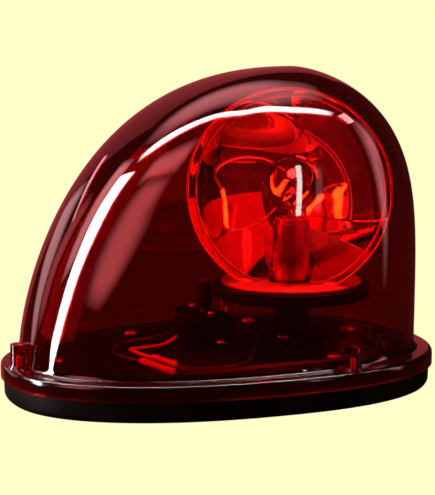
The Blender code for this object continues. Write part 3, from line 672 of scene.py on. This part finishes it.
def make_turntable():
    low, high = box_mm("turntable")
    r = (high.x - low.x) / 2
    base = high.z - 5.0
    disc = [(r, high.z), (r, base), (r - 2.2, base), (r - 2.6, 40.0), (9.5, 40.0),
            (9.5, low.z), (7.1, low.z), (7.1, high.z)]
    table = lathe("turntable_disc", disc, 0.5, 128, matrix=at(AXIS_SPOT))
    join(table, holes_at("reflector_screw", (1, 2), 1.5, 36, 46))
    finish_piece(table, "turntable")
    bush = lathe("bush_ring", [(6.8, high.z), (6.8, low.z), (5.8, low.z), (5.8, high.z)], 0.2,
                 matrix=at(AXIS_SPOT))
    finish_piece(bush, "turntable_bush")
    low, high = box_mm("thrust_washer")
    washer = lathe("washer_ring", [(7.6, high.z), (7.6, low.z), (5.8, low.z), (5.8, high.z)], 0.15,
                   matrix=at(AXIS_SPOT))
    finish_piece(washer, "thrust_washer")


DISH_RADIUS = 44.3
DISH_FOCUS = 18.0
DISH_WALL = 1.0
DISH_RIM_Y = 9.5
DISH_LIP = 0.9
LAMP_HEIGHT = 83.0


def dish_profile(rings=40):
    """The parabola's front, its lip and its back, as (radius, distance along the dish's axis)."""
    front, back = [], []
    for i in range(rings + 1):
        radius = DISH_RADIUS * i / rings
        depth = radius ** 2 / (4 * DISH_FOCUS) - DISH_FOCUS
        slope = math.atan(radius / (2 * DISH_FOCUS))
        front.append((radius, depth))
        back.append((radius + DISH_WALL * math.sin(slope), depth - DISH_WALL * math.cos(slope)))
    outside = DISH_RADIUS + DISH_LIP
    back[-1] = (outside, back[-1][1])
    lip = rounded([front[-1], (DISH_RADIUS, DISH_RIM_Y + 1.0), (outside, DISH_RIM_Y + 1.0),
                   back[-1]], 0.4)[1:-1]
    return front + [tuple(p) for p in lip] + list(reversed(back))


def make_dish():
    seat = box_mm("turntable")[1].z + GAP
    turn = Matrix.Rotation(DISH_TURN, 4, "Z")
    tip = Matrix.Rotation(math.pi / 2, 4, "X")
    facing = Matrix.Translation(Vector((AXIS.x, AXIS.y, LAMP_HEIGHT)) * MM) @ turn @ tip
    here = Matrix.Translation(Vector(AXIS_SPOT) * MM) @ turn
    trim_size = (120, 80, 40)
    dish = lathe("reflector_dish", dish_profile(), 0.0, 144, closed=False, matrix=facing, steps=1)
    below = here @ Matrix.Translation((0, 0, (seat - 20) * MM))
    join(dish, [box_piece("trim", trim_size, below)])
    foot = lathe("foot", [(31.0, seat + 1.1), (31.0, seat), (10.4, seat), (10.4, seat + 1.1)], 0.35,
                 128, matrix=here)
    join(dish, [foot], "UNION")
    cuts = [drum("way", 10.0, 30, 66, AXIS_SPOT, 64)]
    join(dish, cuts + holes_at("reflector_screw", (1, 2), 1.5, 40, 46))
    finish_piece(dish, "reflector")
    for name, reach, forward, thick in (("rim_bead", DISH_RADIUS + 0.35, DISH_RIM_Y + 0.9, 0.55),
                                        ("inner_bead", DISH_RADIUS - 2.6, 6.4, 0.4)):
        ring = [(reach + thick * math.cos(a), forward + thick * math.sin(a))
                for a in [2 * math.pi * i / 12 for i in range(12)]]
        bead = lathe(name, ring, 0.0, 144, matrix=facing)
        under = here @ Matrix.Translation((0, 0, (seat - 19.6) * MM))
        join(bead, [box_piece("trim", trim_size, under)])
        add_piece(bead, "rotor", "chrome", "satin_chrome")


# ------------------------------------------------------------------ lamp
def make_socket():
    low, high = box_mm("lamp_socket")
    r = (high.y - low.y) / 2
    bore = r - 0.6
    tube = [(r, high.z), (r, low.z), (5.8, low.z), (5.8, low.z + 2), (bore, low.z + 2),
            (bore, high.z)]
    socket = lathe("socket_shell", tube, 0.2, 96, matrix=at(AXIS_SPOT))
    cuts = []
    for side in (-1, 1):
        x = AXIS.x + side * r
        cuts.append(box_piece("slot", (4, 2.6, 9), at((x, 0, high.z - 3.5))))
        cuts.append(box_piece("lock", (5, 5.2, 2.6), at((x, side * 2.6, high.z - 6.6))))
    join(socket, cuts)
    finish_piece(socket, "lamp_socket")


def make_lamp_cap():
    low, high = box_mm("bulb_cap")
    cap = [(7.3, high.z), (7.3, low.z), (2.6, low.z), (2.6, low.z + 0.5), (6.8, low.z + 0.5),
           (6.8, high.z)]
    brass = lathe("lamp_cap", cap, 0.25, 96, matrix=at(AXIS_SPOT))
    pins = drum("pins", 1.0, -8.8, 8.8, (AXIS.x, AXIS.y, 62.4), 24, tip=LYING,
                turn=math.radians(26))
    join(pins, [drum("hollow", 7.0, 55, 72, AXIS_SPOT)])
    join(brass, [pins], "UNION")
    finish_piece(brass, "bulb_cap")
    button = middle("bulb_contact")
    solder = lathe("lamp_button", [(0, 57.0), (2.3, 57.0), (2.3, 56.1), (1.2, 55.75), (0, 55.7)],
                   0.3, 32, closed=False, matrix=at((button.x, button.y, 0)))
    finish_piece(solder, "bulb_contact")


def make_bulb():
    """A thin glass ball on a straight neck, with the stem inside it."""
    wall, neck, ball_radius = 0.7, 6.5, 12.5
    low, high = box_mm("bulb_glass")
    ball = high.z - ball_radius
    lowest = math.acos(neck / ball_radius)
    steps = 30
    arc = []
    for i in range(steps + 1):
        angle = math.pi / 2 - (math.pi / 2 + lowest) * i / steps
        arc.append((max(math.cos(angle), 0.0) if i else 0.0, math.sin(angle)))
    outer = [(ball_radius * c, ball + ball_radius * s) for c, s in arc]
    inside = [((ball_radius - wall) * c, ball + (ball_radius - wall) * s) for c, s in arc]
    foot = rounded([(neck, ball - 11.5), (neck, low.z), (neck - wall, low.z),
                    (neck - wall, ball - 11.5)], 0.2)
    shell = outer + [tuple(p) for p in foot[1:-1]] + list(reversed(inside))
    glass = lathe("lamp_envelope", shell, 0.0, 96, closed=False, matrix=at(AXIS_SPOT), steps=1)
    finish_piece(glass, "bulb_glass")
    stem = lathe("lamp_stem", [(0, 77.0), (1.6, 76.6), (2.0, 70.0), (4.6, 64.0), (4.6, 62.6),
                               (0, 62.6)], 0.6, 48, closed=False, matrix=at(AXIS_SPOT))
    finish_piece(stem, "bulb_stem")


def coil_round(path, turns, per_turn, radius):
    """A fine coil wound round a path."""
    count = turns * per_turn
    coil = []
    for i in range(count + 1):
        angle = 2 * math.pi * i / per_turn
        place = i / count * (len(path) - 1)
        k = min(int(place), len(path) - 2)
        way = (path[k + 1] - path[k]).normalized()
        side = way.cross(Vector((0.3, 0.9, 0.1))).normalized()
        out = side * math.cos(angle) + way.cross(side) * math.sin(angle)
        coil.append(path[k].lerp(path[k + 1], place - k) + radius * out)
    return coil


def make_filament():
    """Two short hot coils on fine posts, bridged at the top."""
    hot = {"left": [(30.2, -3.5, 79.4), (30.3, -4.0, 79.9), (30.2, -4.5, 80.3),
                    (30.1, -5.0, 80.7), (29.8, -5.4, 81.1)],
           "right": [(34.4, 2.3, 79.1), (35.1, 2.5, 79.4), (35.7, 2.7, 79.7),
                     (36.3, 2.8, 80.0), (37.0, 3.0, 80.3)]}
    coils = []
    for name, path in hot.items():
        x, y, z = path[0]
        foot = Vector((AXIS.x, 0)).lerp(Vector((x, y)), 0.3)
        post = smooth_line([(*foot, 76.0), (*foot, 76.6), (x, y, 78.0), (x, y, z)])
        add_piece(wire(f"filament_post_{name}", post, 0.16), "root", "solder")
        coil = coil_round(smooth_line(path, 10), 13, 10, 0.13)
        coils.append(wire(f"filament_coil_{name}", coil, 0.06, 2))
    bridge = smooth_line([hot["left"][-1], (30.5, -4.4, 82.0), (34.0, -0.5, 83.4),
                          (36.8, 2.4, 81.6), hot["right"][-1]])
    add_piece(wire("filament_bridge", bridge, 0.08), "root", "solder")
    finish_piece(coils[0], "bulb_filament")
    add_piece(coils[1], "root", "tungsten")


def make_contact():
    low, high = box_mm("socket_insulator")
    disc = lathe("contact_disc", [(1.6, high.z), (7.3, high.z), (7.3, low.z), (1.6, low.z)], 0.3,
                 matrix=at(AXIS_SPOT))
    finish_piece(disc, "socket_insulator")
    plunger = lathe("contact_pin", [(0, 55.3), (1.3, 55.0), (1.3, 51.0), (4.4, 51.0), (4.4, 50.2),
                                    (0, 50.2)], 0.2, 32, closed=False, matrix=at(AXIS_SPOT))
    finish_piece(plunger, "contact_plunger")
    low, high = box_mm("contact_spring")
    turns, per_turn, radius, thick = 3, 32, 3.7, 0.22
    coil = []
    for i in range(turns * per_turn + 1):
        angle = 2 * math.pi * i / per_turn
        z = low.z + thick + (high.z - low.z - 2 * thick) * i / (turns * per_turn)
        coil.append((AXIS.x + radius * math.cos(angle), radius * math.sin(angle), z))
    finish_piece(wire("plunger_spring", coil, thick, 3), "contact_spring")


# ------------------------------------------------------------------ wiring
LEAD_RADIUS = 0.75


def make_wiring():
    """Sleeves on the motor's leads, and the leads' routes over the deck."""
    low = box_mm("chassis_plate")[1].z + GAP + LEAD_RADIUS + 0.2
    inlet = middle("cable_grommet").z
    apart, pair = 0.9, 0.8
    run = Vector((math.sin(SPLICE_HEADING), -math.cos(SPLICE_HEADING)))
    tip = Matrix.Rotation(-math.pi / 2, 4, "X")
    ends = {}
    for name, start, length in (("splice_live", LIVE_SPLICE, 19.0),
                                ("splice_return", RETURN_SPLICE, 26.0)):
        crimp = [(0, -GAP), (1.0, -GAP), (1.4, -1.4), (1.4, -5.0), (1.25, -6.0),
                 (1.25, 6.0 - length), (1.4, 5.0 - length), (1.4, 1.4 - length),
                 (1.0, GAP - length), (0, GAP - length)]
        finish_piece(lathe(f"{name}_sleeve", crimp, 0.4, 40, closed=False,
                           matrix=at((*start, low + 0.7), SPLICE_HEADING, tip)), name)
        ends[name] = Vector(start) + run * length
    live_x, live_y = LIVE_SPLICE
    back_x, back_y = RETURN_SPLICE
    x, y = ends["splice_live"]
    to_inlet = [(80.6, 9.5), (82.4, inlet + 1), (84.6, inlet), (90, inlet)]
    routes = {
        "lead_motor_live": [(MOTOR.x - 14.6, MOTOR.y - 4, low + 2), (-22, 6, low + 0.8),
                            (-30, 6.2, low), (-37, 6.2, low), (-38.4, 4, low),
                            (-37.8, -3, low), (live_x, live_y + 2.5, low), (live_x, live_y, low)],
        "lead_motor_return": [(MOTOR.x - 14.6, MOTOR.y + 2, low + 2), (-24, 21, low + 0.5),
                              (-38, 17, low), (-46.5, 5, low), (-46, -8, low),
                              (back_x, back_y + 3, low), (back_x, back_y, low)],
        "lead_lamp": [(x + apart, y, low), (-27, -39.5, low), (-15, -42, low), (-5, -38, low),
                      (6, -24, low), (13, -11, low + 1.2), (20, -3, low + 4.0),
                      (28, -0.4, low + 5.0), (33, 0, low + 5.6), (35.4, 0, low + 8.5),
                      (36, 0, low + 13), (36, 0, 40), (36, 0, 48.8)],
        "lead_supply_live": [(x - apart, y - 0.3, low), (-31.5, -41.5, low), (-19, -46, low),
                             (0, -47, low), (30, -47.6, low), (52, -42.5, low),
                             (63.5, -28, low), (66, -14, low), (70, -3, low),
                             (76, 1.2, low), (79.8, apart, low - 3)],
    }
    routes["lead_supply_live"] += [(x, pair, z) for x, z in to_inlet]
    x, y = ends["splice_return"]
    routes["lead_supply_return"] = [(x, y, low), (-36, -46, low), (-27, -48.4, low),
                                    (-15, -49.4, low), (0, -50, low), (30, -50.4, low),
                                    (54, -45.2, low), (66, -30, low), (68.4, -15, low),
                                    (73, -6, low), (77, -1.4, low), (79.8, -apart, low - 3)]
    routes["lead_supply_return"] += [(x, -pair, z) for x, z in to_inlet]
    for name, route in routes.items():
        finish_piece(wire(f"{name}_wire", smooth_line(route), LEAD_RADIUS), name)


# ------------------------------------------------------------------ studio
STUDIO_RADIUS = 3.0
CENTRE = Vector((0, 0, 0.06))
CAMERA_PLACE = Vector((-0.2899, -0.6271, 0.1701))
CAMERA_AIM = Vector((0.00023, -0.0001, 0.06008))
PALE = (1.0, 1.0, 0.584, 1)
PINK = (1.0, 0.22, 0.25)
BLUSH = (1.0, 0.42, 0.45)
RUBY = (1.0, 0.12, 0.14)


def heading(azimuth, height):
    """Unit direction from an azimuth and a height above the horizon, in degrees."""
    a, h = math.radians(azimuth), math.radians(height)
    return Vector((math.cos(a) * math.cos(h), math.sin(a) * math.cos(h), math.sin(h)))


def lit(name, strength, colour, inner):
    """A softbox front; an inner one only lights what is inside clear plastic."""
    mat, tree, shader = new_material(name)
    cloth = place_noise(tree, 3.0, 2.0)
    dim = [c * 0.9 for c in colour]
    edge = tree.nodes.new("ShaderNodeAttribute")
    edge.attribute_name = "edge"
    fade = node(tree, "ShaderNodeMix")
    fade.data_type = "RGBA"
    fade.inputs["A"].default_value = (0, 0, 0, 1)
    link(tree, edge.outputs["Fac"], fade.inputs["Factor"])
    link(tree, ramp(tree, cloth.outputs["Fac"], [(0.3, dim), (0.7, colour)]), fade.inputs["B"])
    link(tree, fade.outputs["Result"], shader.inputs["Emission Color"])
    shader.inputs["Emission Strength"].default_value = strength
    if inner:
        path = tree.nodes.new("ShaderNodeLightPath")
        gate = tree.nodes.new("ShaderNodeMath")
        gate.operation = "GREATER_THAN"
        gate.inputs[1].default_value = 0.5
        scaled = tree.nodes.new("ShaderNodeMath")
        scaled.operation = "MULTIPLY"
        scaled.inputs[1].default_value = strength
        link(tree, path.outputs["Transmission Depth"], gate.inputs[0])
        link(tree, gate.outputs["Value"], scaled.inputs[0])
        link(tree, scaled.outputs["Value"], shader.inputs["Emission Strength"])
    shader.inputs["Base Color"].default_value = (0.0, 0.0, 0.0, 1)
    shader.inputs["Roughness"].default_value = 1.0
    shader.inputs["Specular IOR Level"].default_value = 0.0
    return mat


def strip_light(name, stops, strength, colour=(1, 1, 1), reach=STUDIO_RADIUS, inner=False,
                through=True, soft=0.0):
    """A bowed strip light on the studio's dome, from stops of (azimuth, height, width).

    soft is the share of its half width over which its brightness fades at the edges.
    """
    line = smooth_line([heading(a, h) for a, h, _ in stops], 10)
    widths = smooth_line([(w, 0, 0) for _, _, w in stops], 10)
    last = len(line) - 1
    work = bmesh.new()
    edge = work.verts.layers.float.new("edge")
    columns = [i / 4 - 1 for i in range(9)]
    rows = []
    for i, (way, width) in enumerate(zip(line, widths)):
        way = way.normalized()
        ends = min(1.0, min(i, last - i) / last / (soft * 0.3)) if soft else 1.0
        along = line[min(i + 1, last)] - line[max(i - 1, 0)]
        side = way.cross(along).normalized()
        half = math.radians(width.x) / 2
        row = []
        for t in columns:
            spot = way * math.cos(half * t) + side * math.sin(half * t)
            row.append(work.verts.new(CENTRE + spot * reach))
            across = min(1.0, (1 - abs(t)) / soft) if soft else 1.0
            row[-1][edge] = across * ends
        rows.append(row)
    for low, high in zip(rows, rows[1:]):
        for i in range(len(columns) - 1):
            work.faces.new((low[i], low[i + 1], high[i + 1], high[i]))
    strip = mesh_piece(name, work)
    strip.data.materials.append(lit(f"{name}_front", strength, colour, inner))
    strip.visible_camera = False
    strip.visible_transmission = through
    strip.visible_shadow = False


def make_camera():
    camera = bpy.data.cameras.new("camera")
    camera.sensor_width = 36.0
    camera.lens = 117.97
    eye = bpy.data.objects.new("camera", camera)
    eye.location = CAMERA_PLACE
    eye.rotation_euler = (CAMERA_AIM - CAMERA_PLACE).to_track_quat("-Z", "Y").to_euler()
    bpy.context.scene.collection.objects.link(eye)
    bpy.context.scene.camera = eye


def make_room():
    """Pale behind the object, dim in reflections, and brighter through clear plastic."""
    world = bpy.data.worlds.new("studio")
    world.use_nodes = True
    tree = world.node_tree
    backdrop = tree.nodes["Background"]
    backdrop.inputs["Color"].default_value = PALE
    backdrop.inputs["Strength"].default_value = 1.0
    room = node(tree, "ShaderNodeBackground", Color=(0.8, 0.75, 0.75, 1))
    path = tree.nodes.new("ShaderNodeLightPath")
    level = tree.nodes.new("ShaderNodeMapRange")
    level.inputs["To Min"].default_value = 0.012
    level.inputs["To Max"].default_value = 0.12
    link(tree, path.outputs["Transmission Depth"], level.inputs["Value"])
    link(tree, level.outputs["Result"], room.inputs["Strength"])
    mix = tree.nodes.new("ShaderNodeMixShader")
    link(tree, path.outputs["Is Camera Ray"], mix.inputs["Fac"])
    link(tree, room.outputs["Background"], mix.inputs[1])
    link(tree, backdrop.outputs["Background"], mix.inputs[2])
    link(tree, mix.outputs["Shader"], tree.nodes["World Output"].inputs["Surface"])
    bpy.context.scene.world = world


def make_floor():
    """Pale to the camera, dark to everything else."""
    mat, tree, shader = new_material("floor_paper")
    paper = place_noise(tree, 4.0)
    link(tree, ramp(tree, paper.outputs["Fac"], [(0.3, 0.03), (0.7, 0.035)]),
         shader.inputs["Base Color"])
    shader.inputs["Roughness"].default_value = 0.9
    shader.inputs["Specular IOR Level"].default_value = 0.1
    glow = node(tree, "ShaderNodeEmission", Color=PALE, Strength=1.0)
    path = tree.nodes.new("ShaderNodeLightPath")
    mix = tree.nodes.new("ShaderNodeMixShader")
    link(tree, path.outputs["Is Camera Ray"], mix.inputs["Fac"])
    link(tree, shader.outputs["BSDF"], mix.inputs[1])
    link(tree, glow.outputs["Emission"], mix.inputs[2])
    link(tree, mix.outputs["Shader"], tree.nodes["Material Output"].inputs["Surface"])
    work = bmesh.new()
    bmesh.ops.create_grid(work, x_segments=1, y_segments=1, size=4.0)
    floor = mesh_piece("floor", work)
    floor.location.z = -0.0002
    floor.data.materials.append(mat)
    floor.visible_glossy = False


def make_strips():
    """Crisp strips for the streaks on the dome, soft panels for its veils, and inner lights."""
    strip_light("left_strip", [(164, -9, 5), (165, -2, 11), (165, 6, 12), (162, 14, 12),
                               (155, 25, 13), (146, 34, 13), (139, 42, 13)], 26.0)
    strip_light("top_strip", [(133, 45, 5), (133, 56, 8), (131, 68, 7), (120, 80, 6),
                              (345, 84, 6), (346, 74, 7), (344, 62, 6), (345, 53, 5)], 26.0,
                soft=0.3)
    strip_light("side_strip", [(350, 50, 7), (346, 43, 7)], 18.0, BLUSH, soft=0.3)
    strip_light("lamp_strip", [(292.4, 9, 1.0), (294, 18, 1.0), (297.2, 31, 1.0)], 16.0)
    strip_light("lamp_strip_2", [(296.5, 9, 2.6), (298.5, 18, 2.6), (301.5, 30, 2.6)], 2.0, BLUSH,
                soft=0.6)
    strip_light("thin_strip", [(98, 20, 1.2), (106, 18, 1.2), (115, 16, 1.2)], 5.0, BLUSH)
    far = STUDIO_RADIUS + 0.1
    strip_light("top_panel", [(122, 46, 14), (96, 55, 30), (65, 61, 34), (30, 66, 30),
                              (5, 60, 20)], 3.2, BLUSH, far, soft=0.6)
    strip_light("fill_panel", [(163, 50, 14), (184, 57, 22), (212, 63, 26)], 7.0, PINK, far,
                soft=0.7)
    strip_light("left_glow", [(149, 14, 9), (139, 24, 11), (129, 33, 13), (122, 39, 13)], 5.0,
                BLUSH, far, soft=0.5)
    strip_light("left_panel", [(197, 6, 20), (200, 20, 36), (196, 36, 32), (194, 52, 26)], 5.5,
                PINK, far, soft=0.6)
    strip_light("left_veil", [(133, 0, 9), (124, 8, 12), (120, 16, 13), (118, 24, 10)], 1.5,
                PINK, far, soft=0.6)
    strip_light("rear_panel", [(126, -6, 9), (113, 6, 10), (100, 14, 12)], 2.5, BLUSH, far,
                through=False, soft=0.5)
    strip_light("rim_panel", [(76, -20, 50), (76, 10, 50), (72, 34, 46)], 0.6, RUBY,
                far + 0.1, through=False)
    strip_light("right_panel", [(338, -10, 6), (337, 2, 9), (338, 14, 13), (341, 24, 15),
                                (346, 34, 15), (350, 44, 11)], 5.0, BLUSH, far, soft=0.9)
    behind = STUDIO_RADIUS + 0.3
    strip_light("inner_front", [(300, -4, 60), (300, 20, 60), (300, 45, 60), (300, 66, 60)], 3.4,
                reach=behind, inner=True)
    strip_light("inner_rear", [(156, -6, 60), (156, 10, 60), (155, 40, 60), (153, 60, 60)], 3.2,
                reach=behind, inner=True)


def make_lamp_light():
    bulb = bpy.data.lights.new("filament_light", "POINT")
    bulb.energy = 0.2
    bulb.color = (1.0, 0.62, 0.3)
    bulb.shadow_soft_size = 0.002
    lamp = bpy.data.objects.new("filament_light", bulb)
    lamp.location = (AXIS.x * MM, 0, 0.0905)
    bpy.context.scene.collection.objects.link(lamp)


make_dome()
make_tray()
make_pad()
make_gasket()
make_grommet()
make_screws()
make_deck()
make_pedestal()
make_motor()
make_strap()
make_drive()
make_turntable()
make_dish()
make_socket()
make_lamp_cap()
make_bulb()
make_filament()
make_contact()
make_wiring()
bpy.context.scene.view_settings.view_transform = "Standard"
make_camera()
make_room()
make_floor()
make_strips()
make_lamp_light()
for name, obj in frame["nodes"].items():
    obj.data.materials.clear()
    obj.data.materials.append(MATERIALS[SLOT_OF[name]])
